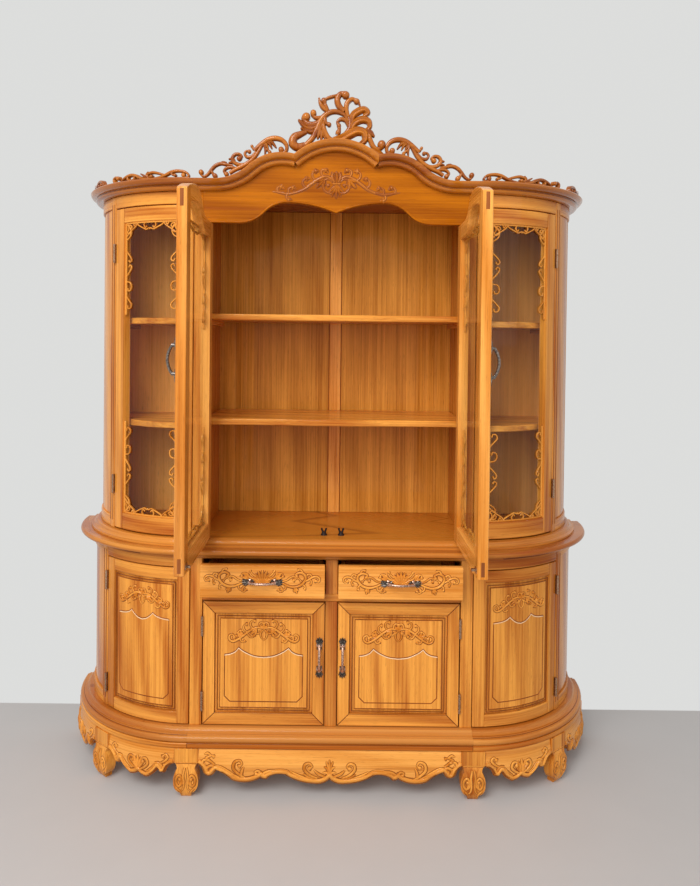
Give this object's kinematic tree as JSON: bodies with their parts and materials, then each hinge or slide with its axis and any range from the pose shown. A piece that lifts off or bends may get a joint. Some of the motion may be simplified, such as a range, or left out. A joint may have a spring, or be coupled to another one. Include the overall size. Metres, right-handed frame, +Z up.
{
  "type": "wine cabinet",
  "caption": "Two-tier display cabinet with rounded ends, arched cornice with scroll crest, glazed upper doors, open shelves, drawers and panelled lower doors on carved feet.",
  "frame": {"origin": "on the floor, midway across, midway front to back of the box that holds the cabinet with its upper centre doors open", "axes": "+Z up, front faces -Y, +X to the right seen from the front"},
  "size_m": [1.771, 0.806, 2.1616],
  "materials": {
    "wood": "clear gloss lacquer over golden hardwood",
    "carved_wood": "clear gloss lacquer over carved hardwood",
    "glass": "clear float glass",
    "bronze": "antique bronze",
    "black_metal": "black"
  },
  "bodies": {
    "cabinet": {"aprons": "carved_wood", "base_band": "wood", "cleats_and_runners": "wood", "cornice_moulding": "wood", "crest": "carved_wood", "door_catches": "black_metal", "feet": "carved_wood", "galleries": "carved_wood", "header_board": "wood", "hinge_leaves_and_pins": "bronze", "lower_back": "wood", "lower_floor": "wood", "lower_frame": "wood", "lower_partitions": "wood", "lower_side_panels": "wood", "lower_top": "wood", "plinth_moulding": "wood", "roof_board": "wood", "shelves": "wood", "upper_back": "wood", "upper_base_moulding": "wood", "upper_floor": "wood", "upper_frame": "wood", "upper_partitions": "wood", "upper_side_panels": "wood", "waist_moulding": "wood"},
    "left_drawer": {"left_drawer_box": "wood", "left_drawer_front": "wood", "left_drawer_pull": "bronze"},
    "left_glass_door": {"left_glass_door_frame": "wood", "left_glass_door_fret": "carved_wood", "left_glass_door_hardware": "bronze", "left_glass_door_pane": "glass"},
    "left_lower_door": {"left_lower_door_frame": "wood", "left_lower_door_hardware": "bronze", "left_lower_door_panel": "wood"},
    "left_lower_side_door": {"left_lower_side_door_frame": "wood", "left_lower_side_door_hinges": "bronze", "left_lower_side_door_panel": "wood"},
    "left_side_glass_door": {"left_side_glass_door_frame": "wood", "left_side_glass_door_fret": "carved_wood", "left_side_glass_door_hinges": "bronze", "left_side_glass_door_pane": "glass"},
    "right_drawer": {"right_drawer_box": "wood", "right_drawer_front": "wood", "right_drawer_pull": "bronze"},
    "right_glass_door": {"right_glass_door_frame": "wood", "right_glass_door_fret": "carved_wood", "right_glass_door_hardware": "bronze", "right_glass_door_pane": "glass"},
    "right_lower_door": {"right_lower_door_frame": "wood", "right_lower_door_hardware": "bronze", "right_lower_door_panel": "wood"},
    "right_lower_side_door": {"right_lower_side_door_frame": "wood", "right_lower_side_door_hinges": "bronze", "right_lower_side_door_panel": "wood"},
    "right_side_glass_door": {"right_side_glass_door_frame": "wood", "right_side_glass_door_fret": "carved_wood", "right_side_glass_door_hinges": "bronze", "right_side_glass_door_pane": "glass"}
  },
  "joints": [
    {"name": "right_glass_door_swing", "type": "hinge", "parent": "cabinet", "child": "right_glass_door", "pos_m": [0.4085, 0.005, 1.26], "axis": [0, 0, 1], "range_deg": [-90, 20]},
    {"name": "left_glass_door_swing", "type": "hinge", "parent": "cabinet", "child": "left_glass_door", "pos_m": [-0.4085, 0.005, 1.26], "axis": [0, 0, -1], "range_deg": [-90, 20]},
    {"name": "right_side_glass_door_swing", "type": "hinge", "parent": "cabinet", "child": "right_side_glass_door", "pos_m": [0.712, 0.12365, 1.287], "axis": [0, 0, 1], "range_deg": [0, 100]},
    {"name": "left_side_glass_door_swing", "type": "hinge", "parent": "cabinet", "child": "left_side_glass_door", "pos_m": [-0.712, 0.12365, 1.287], "axis": [0, 0, -1], "range_deg": [0, 100]},
    {"name": "right_lower_door_swing", "type": "hinge", "parent": "cabinet", "child": "right_lower_door", "pos_m": [0.3955, -0.015, 0.39], "axis": [0, 0, 1], "range_deg": [0, 100]},
    {"name": "left_lower_door_swing", "type": "hinge", "parent": "cabinet", "child": "left_lower_door", "pos_m": [-0.3955, -0.015, 0.39], "axis": [0, 0, -1], "range_deg": [0, 100]},
    {"name": "right_lower_side_door_swing", "type": "hinge", "parent": "cabinet", "child": "right_lower_side_door", "pos_m": [0.72639, 0.10976, 0.44], "axis": [0, 0, 1], "range_deg": [0, 100]},
    {"name": "left_lower_side_door_swing", "type": "hinge", "parent": "cabinet", "child": "left_lower_side_door", "pos_m": [-0.72639, 0.10976, 0.44], "axis": [0, 0, -1], "range_deg": [0, 100]},
    {"name": "right_drawer_slide", "type": "slide", "parent": "cabinet", "child": "right_drawer", "axis": [0, -1, 0], "range_m": [-0.055, 0.2]},
    {"name": "left_drawer_slide", "type": "slide", "parent": "cabinet", "child": "left_drawer", "axis": [0, -1, 0], "range_m": [-0.055, 0.2]}
  ]
}
